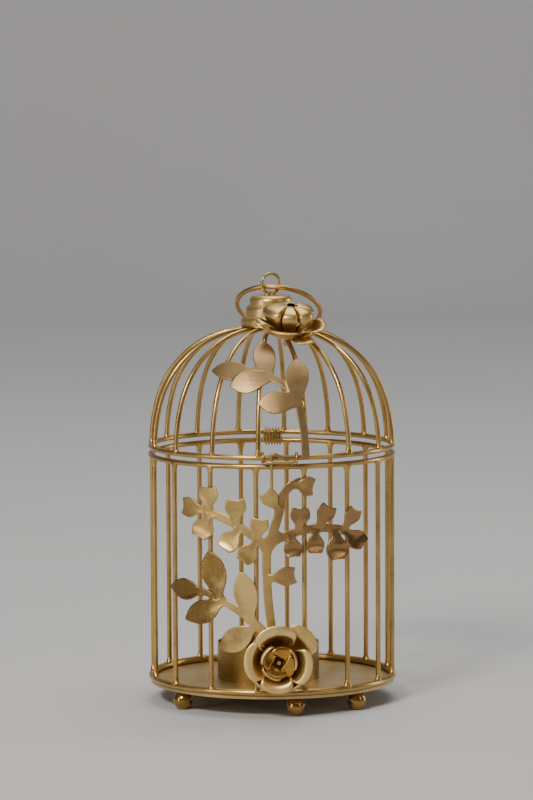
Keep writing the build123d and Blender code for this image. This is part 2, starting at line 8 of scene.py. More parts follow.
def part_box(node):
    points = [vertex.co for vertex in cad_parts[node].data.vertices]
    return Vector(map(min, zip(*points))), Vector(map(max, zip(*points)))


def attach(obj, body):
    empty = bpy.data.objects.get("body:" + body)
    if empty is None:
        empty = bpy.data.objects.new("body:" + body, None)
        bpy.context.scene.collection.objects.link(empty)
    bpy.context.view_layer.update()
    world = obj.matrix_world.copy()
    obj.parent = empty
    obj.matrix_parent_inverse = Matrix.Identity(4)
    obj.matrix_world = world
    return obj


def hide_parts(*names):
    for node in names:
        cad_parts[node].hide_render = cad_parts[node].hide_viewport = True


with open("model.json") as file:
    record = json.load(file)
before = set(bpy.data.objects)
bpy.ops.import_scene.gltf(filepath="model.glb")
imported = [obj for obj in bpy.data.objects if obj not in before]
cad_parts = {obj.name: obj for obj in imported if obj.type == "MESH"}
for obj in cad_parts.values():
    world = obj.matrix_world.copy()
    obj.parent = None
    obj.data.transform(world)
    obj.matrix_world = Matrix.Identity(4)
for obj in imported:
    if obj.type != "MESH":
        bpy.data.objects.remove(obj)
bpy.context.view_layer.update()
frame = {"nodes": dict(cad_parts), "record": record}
nodes = frame["nodes"]

MM = 0.001
TO_METRES = (MM, MM, MM)
ORIGIN, Y_AXIS, Z_AXIS = (0, 0, 0), (0, 1, 0), (0, 0, 1)
QUARTER_TURN, FULL_TURN = math.pi / 2, 2 * math.pi
BLACK, WHITE = (0, 0, 0, 1), (1, 1, 1, 1)


# Shader maths: a socket with operators, and a material that adds its nodes
class Value:
    def __init__(self, finish, socket):
        self.finish = finish
        self.socket = socket

    def maths(self, operation, first, second):
        return self.finish.node("ShaderNodeMath", {"operation": operation}, {0: first, 1: second})

    def __add__(self, other):
        return self.maths("ADD", self, other)

    __radd__ = __add__

    def __sub__(self, other):
        return self.maths("SUBTRACT", self, other)

    def __rsub__(self, other):
        return self.maths("SUBTRACT", other, self)

    def __mul__(self, other):
        return self.maths("MULTIPLY", self, other)

    __rmul__ = __mul__

    def __truediv__(self, other):
        return self.maths("DIVIDE", self, other)

    def __rtruediv__(self, other):
        return self.maths("DIVIDE", other, self)


class Finish:
    def __init__(self, name):
        self.material = bpy.data.materials.new(name)
        self.material.use_nodes = True
        self.tree = self.material.node_tree
        self.shader = self.tree.nodes["Principled BSDF"]

    def put(self, socket, value):
        if isinstance(value, Value):
            self.tree.links.new(value.socket, socket)
        else:
            socket.default_value = value

    def node(self, kind, settings, inputs, output=0):
        # a ramp's two stops are given as (position, colour)
        made = self.tree.nodes.new(kind)
        for key, value in settings.items():
            if key == "stops":
                for stop, (position, colour) in zip(made.color_ramp.elements, value):
                    stop.position = position
                    stop.color = colour
            else:
                setattr(made, key, value)
        for key, value in inputs.items():
            self.put(made.inputs[key], value)
        return Value(self, made.outputs[output])

    def noise(self, where, scale, detail):
        return self.node("ShaderNodeTexNoise", {}, {"Vector": where, "Scale": scale, "Detail": detail})

    def mix(self, share, first, second):
        settings = {"data_type": "RGBA"}
        return self.node("ShaderNodeMix", settings, {0: share, 6: first, 7: second}, output=2)

    def ramp(self, value, low, high):
        return self.node("ShaderNodeValToRGB", {"stops": [(low, BLACK), (high, WHITE)]}, {"Fac": value})

    def set(self, **sockets):
        for name, value in sockets.items():
            self.put(self.shader.inputs[name.replace("_", " ")], value)
        return self.material


PATCH_DETAIL, FINE_DETAIL, NOISE_MEAN = 3.0, 2.0, 0.5
FLECK_SIZE, SPECK_SIZE, RIPPLE_SIZE = 0.35 * MM, 0.6 * MM, 2.2 * MM
FLECK_HEIGHT, RIPPLE_HEIGHT, BUMP_DEPTH = 0.4, 0.6, 0.05 * MM
TONE_FROM, TONE_TO = 0.32, 0.68
SPECK_FROM, SPECK_TO, SPECK_SHARE, SPECK_LIGHT = 0.5, 0.7, 0.5, 1.5
LIT_GAIN, LIT_FALL = 0.2, 0.3
PATCH_GLOSS, FLECK_GLOSS = 0.12, 0.3
METALLIC = 0.94


def gold_paint(name, light, shade, rough, grain, patch_size, lit_from=None):
    # metallic gold paint: slow patches of tone, fine grains of flake, a slightly uneven gloss;
    # lit_from is the axis and place where the sheet is painted lightest, and how far that reaches: painted
    # shade darkens it to both sides
    paint = Finish(name)
    where = paint.node("ShaderNodeTexCoord", {}, {}, output="Object")
    patch = paint.noise(where, 1 / patch_size, PATCH_DETAIL)
    fleck = paint.noise(where, 1 / FLECK_SIZE, FINE_DETAIL)
    ripple = paint.noise(where, 1 / RIPPLE_SIZE, FINE_DETAIL)
    # painted shade: the tone falls off to both sides of the lit middle, as if the sheet turned away from the
    # light
    if lit_from:
        axis, middle, reach = lit_from
        across = paint.node("ShaderNodeSeparateXYZ", {}, {"Vector": where}, output=axis)
        aside = (across - middle) / reach
        patch = patch + LIT_GAIN - LIT_FALL * (aside * aside)
    tone = paint.mix(paint.ramp(patch, TONE_FROM, TONE_TO), (*shade, 1), (*light, 1))
    speck = paint.ramp(paint.noise(where, 1 / SPECK_SIZE, FINE_DETAIL), SPECK_FROM, SPECK_TO)
    glint = (*(min(1.0, SPECK_LIGHT * part) for part in light), 1)
    bump = paint.node("ShaderNodeBump", {}, {
        "Strength": grain, "Distance": BUMP_DEPTH, "Height": ripple * RIPPLE_HEIGHT + fleck * FLECK_HEIGHT,
    })
    return paint.set(
        Base_Color=paint.mix(speck * (SPECK_SHARE * grain), tone, glint),
        Roughness=rough + (patch - NOISE_MEAN) * PATCH_GLOSS + (fleck - NOISE_MEAN) * (FLECK_GLOSS * grain),
        Metallic=METALLIC,
        Normal=bump,
    )


WIRE = gold_paint("wire_gold", (0.57, 0.37, 0.13), (0.43, 0.265, 0.08), 0.29, 0.03, 11 * MM)
# painted shade: the vine's leaves darken to both sides of their lit middle, where the sheet turns away from
# the light
VINE_LEAF = gold_paint(
    "vine_leaf_gold", (0.54, 0.365, 0.13), (0.36, 0.21, 0.085), 0.35, 0.45, 8 * MM,
    lit_from=("X", -14 * MM, 21 * MM),
)
# painted shade: the spray's leaves darken to both sides of their lit middle, where the sheet turns away from
# the light
SPRAY_LEAF = gold_paint(
    "spray_leaf_gold", (0.67, 0.47, 0.18), (0.20, 0.115, 0.034), 0.32, 0.3, 8 * MM,
    lit_from=("X", -6 * MM, 14.5 * MM),
)
DOME_LEAF = gold_paint("dome_leaf_gold", (0.42, 0.275, 0.125), (0.32, 0.20, 0.085), 0.42, 0.5, 9 * MM)
PETAL = gold_paint("petal_gold", (0.66, 0.45, 0.17), (0.44, 0.28, 0.09), 0.36, 0.4, 7 * MM)
# painted shade: the rose petals darken with depth into the cup and are lightest at the lips
ROSE_PETAL = gold_paint(
    "rose_petal_gold", (0.84, 0.60, 0.245), (0.46, 0.25, 0.06), 0.40, 0.5, 7 * MM,
    lit_from=("Y", -59.5 * MM, 5 * MM),
)
# the rose petal finish without its painted shade and with a lighter shade tone: painted light that lifts the
# shade in the gaps between the back petals
ROSE_BACK = gold_paint("rose_back_gold", (0.84, 0.60, 0.245), (0.60, 0.37, 0.11), 0.42, 0.5, 7 * MM)
ROSE_BUD = gold_paint("rose_bud_gold", (0.55, 0.29, 0.058), (0.33, 0.16, 0.03), 0.25, 0.25, 4 * MM)
PLATE = gold_paint("plate_gold", (0.58, 0.42, 0.19), (0.45, 0.31, 0.12), 0.40, 0.30, 18 * MM)
CUP = gold_paint("cup_gold", (0.33, 0.21, 0.062), (0.24, 0.145, 0.036), 0.34, 0.30, 12 * MM)
# painted shade: the ball feet get a darker finish, as if in shadow under the base
FOOT_PAINTED_SHADE = gold_paint("foot_painted_shade_gold", (0.42, 0.25, 0.075), (0.28, 0.16, 0.045), 0.22, 0.1, 5 * MM)
CAP = gold_paint("cap_gold", (0.70, 0.48, 0.19), (0.56, 0.36, 0.13), 0.36, 0.30, 9 * MM)
# painted shade: a near-black finish for the inner faces of the cap flower's bud, so its slits and apex look
# dark
BUD_INSIDE_PAINTED_SHADE = gold_paint("bud_inside_painted_shade", (0.09, 0.05, 0.014), (0.05, 0.026, 0.007), 0.6, 0.3, 4 * MM)
RING = gold_paint("hanger_gold", (0.52, 0.31, 0.10), (0.40, 0.23, 0.065), 0.35, 0.1, 9 * MM)
EYE = gold_paint("eye_gold", (0.55, 0.42, 0.16), (0.36, 0.26, 0.09), 0.33, 0.30, 4 * MM)
SOLDER = gold_paint("solder_gold", (0.62, 0.38, 0.12), (0.42, 0.23, 0.06), 0.3, 0.5, 3 * MM)

SLOT_FINISH = {
    "bar_wire": WIRE,
    "dome_wire": WIRE,
    "ring_wire": WIRE,
    "foot_ball": FOOT_PAINTED_SHADE,
    "plate_sheet": PLATE,
    "cup_sheet": CUP,
    "leaf_sheet": VINE_LEAF,
    "petal_sheet": PETAL,
    "cap_sheet": CAP,
    "fixing": WIRE,
    "bent_wire": WIRE,
    "hanger_wire": RING,
    "coil_wire": WIRE,
}
for subpart in frame["record"]["subparts"]:
    node = nodes[subpart["node"]]
    node.data.materials.clear()
    node.data.materials.append(SLOT_FINISH[subpart["material_slot"]])
nodes["hanger_eye"].data.materials[0] = EYE

# Modelling: points are picked by place, then moved with the transform tools
SEAM, NEAR = 1e-4, 1e-3


def add(name, primitive, **settings):
    bpy.ops.object.select_all(action="DESELECT")
    primitive(**settings)
    piece = bpy.context.object
    piece.name = name
    bpy.ops.object.transform_apply(location=True, rotation=True, scale=True)
    return piece


def pick(piece, test):
    # test takes a point's number and place; the piece is left in edit mode
    bpy.ops.object.mode_set(mode="EDIT")
    bpy.ops.mesh.select_mode(type="VERT")
    bpy.ops.mesh.select_all(action="DESELECT")
    bpy.ops.object.mode_set(mode="OBJECT")
    for point in piece.data.vertices:
        point.select = test(point.index, point.co)
    bpy.ops.object.mode_set(mode="EDIT")


def every_point(number, spot):
    return True


def done():
    bpy.ops.object.mode_set(mode="OBJECT")


def spin_all(piece, steps, angle, centre, axis):
    # the spin tool turns the other way round its axis than a rotation does
    pick(piece, every_point)
    bpy.ops.mesh.spin(steps=steps, angle=-angle, center=centre, axis=axis)
    done()


def close_seams(piece):
    pick(piece, every_point)
    bpy.ops.mesh.remove_doubles(threshold=SEAM)
    bpy.ops.mesh.normals_make_consistent(inside=False)
    done()


def only(piece):
    bpy.ops.object.select_all(action="DESELECT")
    piece.select_set(True)
    bpy.context.view_layer.objects.active = piece


def apply(piece, kind, **settings):
    only(piece)
    tool = piece.modifiers.new(kind.lower(), kind)
    for key, value in settings.items():
        setattr(tool, key, value)
    bpy.ops.object.modifier_apply(modifier=tool.name)


def copy_of(piece, name):
    only(piece)
    bpy.ops.object.duplicate()
    made = bpy.context.object
    made.name = name
    return made


def place(piece, at=ORIGIN, turn=(0, 0, 0), size=(1, 1, 1)):
    only(piece)
    piece.location, piece.rotation_euler, piece.scale = at, turn, size
    bpy.ops.object.transform_apply(location=True, rotation=True, scale=True)


def join(pieces, name):
    only(pieces[0])
    for piece in pieces:
        piece.select_set(True)
    bpy.ops.object.join()
    made = bpy.context.object
    made.name = name
    made.data.name = name
    return made


def remove(*pieces):
    for piece in pieces:
        bpy.data.objects.remove(piece)


def hand_in(piece, body, node, finish=None):
    only(piece)
    bpy.ops.object.shade_smooth()
    if finish:
        piece.data.materials.clear()
        piece.data.materials.append(finish)
    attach(piece, body)
    if node:
        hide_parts(node)


def outline(name, points):
    # an edge chain through points (x, z), drawn from a row of a grid
    line = add(
        name, bpy.ops.mesh.primitive_grid_add, x_subdivisions=len(points) - 1, y_subdivisions=1, size=1,
    )
    pick(line, lambda i, co: co.y > 0)
    bpy.ops.mesh.delete(type="VERT")
    done()
    row = [point.co.copy() for point in line.data.vertices]
    order = sorted(range(len(row)), key=lambda i: row[i].x)
    for number, (x, z) in zip(order, points):
        pick(line, lambda i, co: i == number)
        bpy.ops.transform.translate(value=Vector((x, 0, z)) - row[number])
    done()
    return line


# Leaves: one leaf of each form, lying in XZ, neck at the origin and tip at Z 1
LEAF_COLUMNS = 10
HOLLOW_FROM, RIM_TO, CURL_FROM = 0.55, 0.9, 0.62
TULIP_ROWS = (0.6, 0.46, 0.42, 0.44, 0.58, 0.76, 0.93, 1.04, 1.06, 1.03, 0.98, 0.92, 0.82)
HANGING_ROWS = (0.6, 0.46, 0.42, 0.46, 0.62, 0.8, 0.95, 1.04, 1.06, 1.03, 0.96, 0.84, 0.64)
POINTED_ROWS = (
    0.48, 0.36, 0.38, 0.56, 0.74, 0.88, 0.98, 1.04, 1.05, 1.02, 0.94, 0.82, 0.63, 0.38, 0.06,
)
BROAD_ROWS = (
    0.5, 0.56, 0.64, 0.74, 0.84, 0.92, 0.99, 1.03, 1.04, 1.01, 0.94, 0.82, 0.63, 0.38, 0.06,
)


def flat_leaf(name, rows, hollow, cup, curl):
    # rows are the widths from neck to tip, hollow is how far the tip's middle is cut back, and
    # the group named cup holds how far each point is pressed out at the rim and the curled tip
    count = len(rows) - 1
    leaf = add(
        name, bpy.ops.mesh.primitive_grid_add, x_subdivisions=LEAF_COLUMNS, y_subdivisions=count,
        size=1, location=(0, 0, 0.5), rotation=(QUARTER_TURN, 0, 0),
    )
    drawn = [point.co.copy() for point in leaf.data.vertices]
    for column in sorted({round(spot.x, 4) for spot in drawn}):
        sunk = 1 - hollow * (1 - (2 * column) ** 2) / (1 - HOLLOW_FROM)
        pick(leaf, lambda i, co: abs(drawn[i].x - column) < NEAR and drawn[i].z > HOLLOW_FROM)
        bpy.ops.transform.resize(value=(1, 1, sunk), center_override=(0, 0, HOLLOW_FROM))
    for row, width in enumerate(rows):
        pick(leaf, lambda i, co: abs(drawn[i].z - row / count) < NEAR)
        bpy.ops.transform.resize(value=(width, 1, 1), center_override=(0, 0, row / count))
    done()
    group = leaf.vertex_groups.new(name="cup")
    for number, spot in enumerate(drawn):
        side, along = abs(2 * spot.x), spot.z
        rim = cup * side ** 2 * math.sin(math.pi * (along / RIM_TO)) if along < RIM_TO else 0
        tip = curl * max(along - CURL_FROM, 0) ** 2 / (1 - CURL_FROM) ** 2
        group.add([number], min(rim + tip, 1.0), "REPLACE")
    return leaf


TULIP = flat_leaf("tulip_leaf", TULIP_ROWS, hollow=0.07, cup=0.22, curl=0.1)
TULIP_CURLED = flat_leaf("tulip_leaf_curled", HANGING_ROWS, hollow=0.02, cup=0.3, curl=0.8)
POINTED = flat_leaf("pointed_leaf", POINTED_ROWS, hollow=0.0, cup=0.25, curl=0.1)
POINTED_CURLED = flat_leaf("pointed_leaf_curled", POINTED_ROWS, hollow=0.0, cup=0.3, curl=0.45)
BROAD = flat_leaf("broad_leaf", BROAD_ROWS, hollow=0.0, cup=0.25, curl=0.1)


def arc_through(start, middle, end):
    # the arc through three points of the drawing: its centre, the angle of its start as seen from
    # there, from +Z towards +X, its radius and its turn
    (ax, az), (bx, bz), (cx, cz) = start, middle, end
    d = 2 * (ax * (bz - cz) + bx * (cz - az) + cx * (az - bz))
    a2, b2, c2 = ax * ax + az * az, bx * bx + bz * bz, cx * cx + cz * cz
    x = (a2 * (bz - cz) + b2 * (cz - az) + c2 * (az - bz)) / d
    z = (a2 * (cx - bx) + b2 * (ax - cx) + c2 * (bx - ax)) / d
    first = math.atan2(ax - x, az - z)
    last = math.atan2(cx - x, cz - z)
    turn = (last - first) % FULL_TURN
    if (bx - ax) * (cz - az) - (bz - az) * (cx - ax) > 0:
        turn -= FULL_TURN
    return (x, z), first, math.hypot(ax - x, az - z), turn


STRIP_COLUMNS, STRIP_STEP, LEAST_STEPS = 4, 1.2, 6


def strip(width, start, middle, end):
    # an edge across the strip's start, spun about the centre of its arc
    (x, z), first, radius, turn = arc_through(start, middle, end)
    line = add(
        "strip", bpy.ops.mesh.primitive_grid_add, x_subdivisions=STRIP_COLUMNS, y_subdivisions=1, size=1,
        rotation=(QUARTER_TURN, 0, 0),
    )
    pick(line, lambda i, co: co.z > 0)
    bpy.ops.mesh.delete(type="VERT")
    pick(line, every_point)
    bpy.ops.transform.translate(value=(0, 0, 0.5))
    done()
    at = (x + radius * math.sin(first), 0, z + radius * math.cos(first))
    place(line, at, (0, first - QUARTER_TURN, 0), (width, 1, 1))
    spin_all(line, max(LEAST_STEPS, int(radius * abs(turn) / STRIP_STEP)), turn, (x, 0, z), Y_AXIS)
    return line


def on_arc(share, start, middle, end):
    (x, z), first, radius, turn = arc_through(start, middle, end)
    angle = first + share * turn
    return x + radius * math.sin(angle), z + radius * math.cos(angle)


LEANS = (0.55, -0.5, 0.8, 0.05, -0.75, 0.35, -0.3)
HANGS_PAST = 100


def lean_leaf(leaf, lean):
    # one side of the leaf stands further out than the other
    group = leaf.vertex_groups["cup"]
    for point in leaf.data.vertices:
        out = max(lean, 0) * (0.5 + point.co.x) - min(lean, 0) * (0.5 - point.co.x)
        weight = group.weight(point.index) + out * min(2 * point.co.z, 1)
        group.add([point.index], min(weight, 1), "REPLACE")


def branch(width, start, middle, end, forms, leaves):
    # forms: a leaf that stands and one that hangs; leaves: (share of the strip, heading, length, width)
    made = [strip(width, start, middle, end)]
    for number, (share, heading, length, leaf_width) in enumerate(leaves):
        hangs = abs((heading + 180) % 360 - 180) > HANGS_PAST
        leaf = copy_of(forms[1] if hangs else forms[0], "leaf")
        lean_leaf(leaf, LEANS[(number + int(length)) % len(LEANS)])
        x, z = on_arc(share, start, middle, end)
        place(leaf, (x, 0, z), (0, math.radians(heading), 0), (leaf_width, 1, length))
        made.append(leaf)
    return made


DRAWING_Y = -0.09
SHEET_VOXEL, SMOOTH_SHARE, SMOOTH_TIMES = 0.22 * MM, 0.5, 10


def cut_sheet(name, parts, former, cup_depth, thickness):
    # the flat drawing pressed on its former, cupped, thickened and rounded like painted metal
    sheet = join(parts, name)
    place(sheet, (0, DRAWING_Y, 0), size=TO_METRES)
    apply(
        sheet, "SHRINKWRAP", target=former, wrap_method="PROJECT", use_project_x=False,
        use_project_y=True, use_project_z=False, use_positive_direction=True,
    )
    apply(sheet, "DISPLACE", strength=cup_depth, mid_level=0.0, vertex_group="cup")
    apply(sheet, "SOLIDIFY", thickness=thickness, offset=0.0)
    apply(sheet, "REMESH", mode="VOXEL", voxel_size=SHEET_VOXEL)
    apply(sheet, "SMOOTH", factor=SMOOTH_SHARE, iterations=SMOOTH_TIMES)
    return sheet


# The drawings of the sheets, in mm across and up
ROSE_SPOT = (2.47, 23.35)
FORK = (-1.7, 67.6)
FILLET_W = 2.6
TULIP_PAIR = (TULIP, TULIP_CURLED)
POINTED_PAIR = (POINTED, POINTED_CURLED)
BROAD_PAIR = (BROAD, BROAD)

vine_parts = (
    branch(3.5, ROSE_SPOT, (-1.4, 49), FORK, TULIP_PAIR, [(0.725, 82, 11.6, 7.4)])
    + branch(3.6, FORK, (2.3, 78.6), (3.9, 85.6), TULIP_PAIR, [(0.82, -36, 9.8, 6.6)])
    + branch(3.4, (3.6, 84), (5.7, 90), (12, 93.8), TULIP_PAIR, [(0.74, 98, 8.4, 7.6)])
    + branch(3.4, (0.2, 69.6), (14, 74.6), (29, 73.4), TULIP_PAIR, [
        (0.38, 4.5, 9.7, 7.2), (0.63, 28, 10.3, 7.3), (0.98, 30, 9.6, 6.6), (0.98, 131, 9.9, 7.4),
        (0.29, 176, 9.2, 7), (0.605, 182, 9.8, 7), (0.875, 179, 12.3, 7.8),
    ])
    + branch(3.4, (-0.6, 66.4), (-13.2, 76.2), (-26.8, 82), TULIP_PAIR, [
        (0.21, 7, 9.0, 7.2), (0.535, -1, 10.8, 7.6), (0.915, -2.4, 10.4, 7.6), (0.975, -83, 9.0, 7.8),
        (0.21, 214, 10.4, 7.4), (0.475, 217, 10.7, 7.8), (0.89, 205, 11, 7.8),
    ])
)
# the sheet is cut with round corners where the vine forks
vine_parts += [
    strip(FILLET_W, (1.6, 76.5), (2.4, 73.2), (6.2, 72.6)),
    strip(FILLET_W, (-1.4, 64.5), (0.3, 68.6), (5.0, 71.5)),
    strip(FILLET_W, (0.1, 74.0), (-1.9, 70.7), (-5.6, 71.0)),
    strip(FILLET_W, (-2.0, 63.5), (-3.0, 67.4), (-7.2, 71.4)),
]
spray_parts = (
    branch(3.8, (2.2, 26), (-3.2, 34.2), (-9.8, 39.9), POINTED_PAIR, [
        (0.72, -124.4, 17.7, 9.2), (0.85, -12.6, 20.4, 9.0),
    ])
    + branch(2.9, (-8, 38.6), (-15.4, 44), (-22.8, 47.9), POINTED_PAIR, [
        (0.74, -119, 17.0, 8.8), (0.82, -13, 19.9, 9.2),
    ])
    + branch(2.6, (-21, 46.6), (-25, 48.8), (-28, 49.3), POINTED_PAIR, [(0.85, -86, 12.8, 8.4)])
)
dome_branch_parts = (
    branch(3.1, (13.6, 102.6), (12.9, 114), (10.2, 126.4), BROAD_PAIR, [
        (0.94, -93, 15.6, 8.4), (0.955, -1.4, 15.4, 8.8),
    ])
    + branch(2.7, (10.6, 125.8), (5.4, 131.2), (-1.4, 134.4), BROAD_PAIR, [
        (0.965, -13, 13.2, 8.6), (0.955, -104, 15.6, 7.8),
    ])
    + branch(2.6, (-0.6, 134.2), (-3.6, 136.2), (-7.2, 136.4), POINTED_PAIR, [(0.835, -92.5, 17.2, 6.6)])
)

# The drum's former: the line of the bars, one sheet further out
SHEET_R, DRUM_SIDES, DRUM_H, DRUM_MIDDLE_Z = 50.12, 360, 0.2, 0.06
drum_former = add(
    "drum_former", bpy.ops.mesh.primitive_cylinder_add, vertices=DRUM_SIDES, radius=SHEET_R * MM,
    depth=DRUM_H, location=(0, 0, DRUM_MIDDLE_Z),
)

# The dome's former: the line of the dome wires, one sheet further out
RING_R, BASE_RING_Z, BODY_RING_Z, DOME_RING_Z = 48.65, 9.75, 99.55, 103.05
DOME_OFFSET = 1.42
WALL_R, WALL_TURN, WALL_STEPS, WALL_BELOW = 66.9, math.radians(16.5), 8, 0.1
CROWN_X, CROWN_Z, CROWN_R, CROWN_STEPS = 8.4, 110.95, 39.105, 24
DOME_STEPS = 180


def former_point(x, z, radius, angle):
    reach = radius + DOME_OFFSET
    return (x + reach * math.cos(angle)) * MM, (z + reach * math.sin(angle)) * MM


dome_line = [
    former_point(RING_R - WALL_R, DOME_RING_Z, WALL_R, WALL_TURN * (k / WALL_STEPS - WALL_BELOW))
    for k in range(WALL_STEPS + 1)
] + [
    former_point(CROWN_X, CROWN_Z, CROWN_R, WALL_TURN + (QUARTER_TURN - WALL_TURN) * k / CROWN_STEPS)
    for k in range(CROWN_STEPS + 1)
]
dome_former = outline("dome_former", dome_line)
spin_all(dome_former, DOME_STEPS, -math.pi, ORIGIN, Z_AXIS)

vine = cut_sheet(
    "flower_vine_look", vine_parts, drum_former, cup_depth=1.5 * MM, thickness=0.85 * MM,
)
spray = cut_sheet(
    "leaf_spray_look", spray_parts, drum_former, cup_depth=1.7 * MM, thickness=0.85 * MM,
)
dome_branch = cut_sheet(
    "dome_leaf_branch_look", dome_branch_parts, dome_former, cup_depth=0.7 * MM, thickness=0.8 * MM,
)
remove(drum_former, dome_former, TULIP, TULIP_CURLED, POINTED, POINTED_CURLED, BROAD)
hand_in(vine, "cage", "flower_vine", VINE_LEAF)
hand_in(spray, "cage", "leaf_spray", SPRAY_LEAF)
hand_in(dome_branch, "dome", "dome_leaf_branch", DOME_LEAF)

# Petals: the middle line spun to both sides; each line is drawn in at its lip, then towards its root
PETAL_STEPS, PETAL_EDGE, SAME_ANGLE = 16, 0.99, 1e-4
FOLD_NEAR, FOLD_ABOVE = 0.25, 7


def petal(name, line, fold, spread, wall_fullness, lip_fullness):
    # fold is the number of the point where the wall ends and the lip begins; spread is in degrees
    width = math.radians(spread)
    made = outline(name, line)
    place(made, turn=(0, 0, -width / 2))
    spin_all(made, PETAL_STEPS, width, ORIGIN, Z_AXIS)
    drawn = [point.co.copy() for point in made.data.vertices]
    column = [math.atan2(spot.y, spot.x) for spot in drawn]
    row = [
        min(range(len(line)), key=lambda k: math.dist((spot.xy.length, spot.z), line[k])) for spot in drawn
    ]
    for step in range(PETAL_STEPS + 1):
        angle = -width / 2 + width * step / PETAL_STEPS
        side = min(abs(2 * step / PETAL_STEPS - 1), PETAL_EDGE)
        for first, fullness in ((fold, lip_fullness), (0, wall_fullness)):
            size = (1 - side ** fullness) ** (1 / fullness)
            reach, height = line[first]
            anchor = Vector((reach * math.cos(angle), reach * math.sin(angle), height))
            pick(made, lambda i, co: abs(column[i] - angle) < SAME_ANGLE and row[i] >= first)
            bpy.ops.transform.resize(value=(size, size, size), center_override=anchor)
    close_seams(made)
    return made


def twist(piece, rows):
    # rows: (radius, turn); each ring of the folded top is turned about the flower's axis
    reach = [point.co.xy.length for point in piece.data.vertices]
    for radius, turn in rows:
        pick(piece, lambda i, co: abs(reach[i] - radius) < FOLD_NEAR and co.z > FOLD_ABOVE)
        bpy.ops.transform.rotate(value=math.radians(turn), orient_axis="Z", center_override=ORIGIN)
    done()


def whorl(name, forms, thickness, outside, inside):
    # forms: (petal, its direction, its lean about that direction)
    made = []
    for form, direction, lean in forms:
        one = copy_of(form, "petal")
        place(one, turn=(math.radians(lean), 0, 0))
        place(one, turn=(0, 0, math.radians(direction)))
        made.append(one)
    cup = join(made, name)
    cup.data.materials.append(outside)
    cup.data.materials.append(inside)
    apply(cup, "SOLIDIFY", thickness=thickness, offset=0.0, material_offset=1)
    apply(cup, "SUBSURF", levels=2, render_levels=2)
    return cup


# Rose
PETAL_T, FOLD_T = 0.5, 0.4
ROOT_R = 0.9
far_petal = petal("far_petal", [
    (ROOT_R, 0.3), (4.0, 0.4), (7.6, 0.8), (10.4, 2.2), (11.9, 4.6), (12.4, 5.8), (13.2, 6.3), (15.2, 6.6),
    (17.6, 6.5),
], fold=5, spread=70, wall_fullness=8.0, lip_fullness=2.0)
back_petal = petal("back_petal", [
    (ROOT_R, 0.3), (5.0, 0.4), (9.0, 1.0), (11.4, 2.6), (12.6, 4.6), (12.7, 6.2), (12.1, 7.6), (11.5, 8.2),
], fold=5, spread=84, wall_fullness=8.0, lip_fullness=2.6)


def lip_petal(name, bend, rim, spread):
    # a cup wall that bends over into a lip from one reach to the other
    lip = rim - bend
    return petal(name, [
        (ROOT_R, 0.9), (4.0, 1.1), (0.65 * bend, 2.2), (bend - 2.0, 4.2), (bend - 1.0, 6.2),
        (bend - 0.3, 7.6), (bend, 8.1), (bend + 0.3 * lip, 8.45), (bend + 0.6 * lip, 8.55), (rim, 8.3),
    ], fold=6, spread=spread, wall_fullness=8.0, lip_fullness=2.3)


top_lip = lip_petal("top_lip", 11.0, 14.8, 96)
left_lip = lip_petal("left_lip", 10.7, 13.9, 96)
low_lip = lip_petal("low_lip", 9.4, 12.5, 88)
right_lip = lip_petal("right_lip", 10.7, 13.4, 90)
bud_wrap = petal("bud_wrap", [
    (ROOT_R, 1.3), (4.6, 1.5), (6.4, 3.0), (6.95, 5.6), (7.1, 7.6), (7.05, 8.6), (6.7, 9.0), (6.2, 9.05),
], fold=5, spread=88, wall_fullness=8.0, lip_fullness=2.0)
bud_fold = petal("bud_fold", [
    (ROOT_R, 1.5), (4.4, 1.7), (6.0, 3.2), (6.4, 5.6), (6.5, 7.8), (6.25, 8.6), (5.6, 8.85), (4.3, 8.7),
    (2.9, 8.45), (1.7, 7.9),
], fold=5, spread=104, wall_fullness=12.0, lip_fullness=12.0)
twist(bud_fold, [(4.3, 10), (2.9, 24), (1.7, 44)])
outer_whorl = whorl("rose_outer_look", [
    (far_petal, 43, 0), (back_petal, 137, 2), (back_petal, 221, 2), (back_petal, 313, 2),
], PETAL_T, ROSE_BACK, ROSE_BACK)
inner_whorl = whorl("rose_inner_look", [
    (top_lip, 99, 3), (left_lip, 180, 3), (low_lip, 267, 3), (right_lip, -9, 3),
    (bud_wrap, 148, 0), (bud_wrap, 236, 0), (bud_wrap, 12, 0),
], PETAL_T, ROSE_PETAL, ROSE_PETAL)
rose_bud = whorl("rose_bud_look", [
    (bud_fold, 85, 7), (bud_fold, 175, 7), (bud_fold, 265, 7), (bud_fold, 355, 7),
], FOLD_T, ROSE_BUD, ROSE_BUD)
remove(far_petal, back_petal, top_lip, left_lip, low_lip, right_lip, bud_wrap, bud_fold)
ROSE_TURN, ROSE_Y = math.radians(2.8), -50.48
rose_low, rose_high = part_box("rose_bud")
rose_at = (ROSE_SPOT[0] * MM, ROSE_Y * MM, (rose_low.z + rose_high.z) / 2)
for cup, node in (
    (outer_whorl, "rose_outer_petals"), (inner_whorl, "rose_inner_petals"), (rose_bud, "rose_bud"),
):
    place(cup, rose_at, (QUARTER_TURN, 0, ROSE_TURN), TO_METRES)
    hand_in(cup, "cage", node)

# Cap flower
GORE_LINE = [
    (ROOT_R, 0.9), (4.2, 1.5), (6.8, 3.5), (8.8, 6.4), (10.1, 9.2), (9.6, 11.1), (7.3, 12.2), (4.2, 12.7),
    (2.0, 12.5),
]
BACK_LINE = [
    (ROOT_R, 0.9), (4.2, 1.5), (6.8, 3.2), (8.6, 5.6), (9.4, 7.8), (8.8, 9.4), (6.8, 10.5), (4.2, 11.7),
    (2.0, 12.3),
]


def gore(name, line, width, spread):
    drawn = [(ROOT_R + (reach - ROOT_R) * width, height) for reach, height in line]
    return petal(name, drawn, fold=len(line) - 1, spread=spread, wall_fullness=14.0, lip_fullness=14.0)


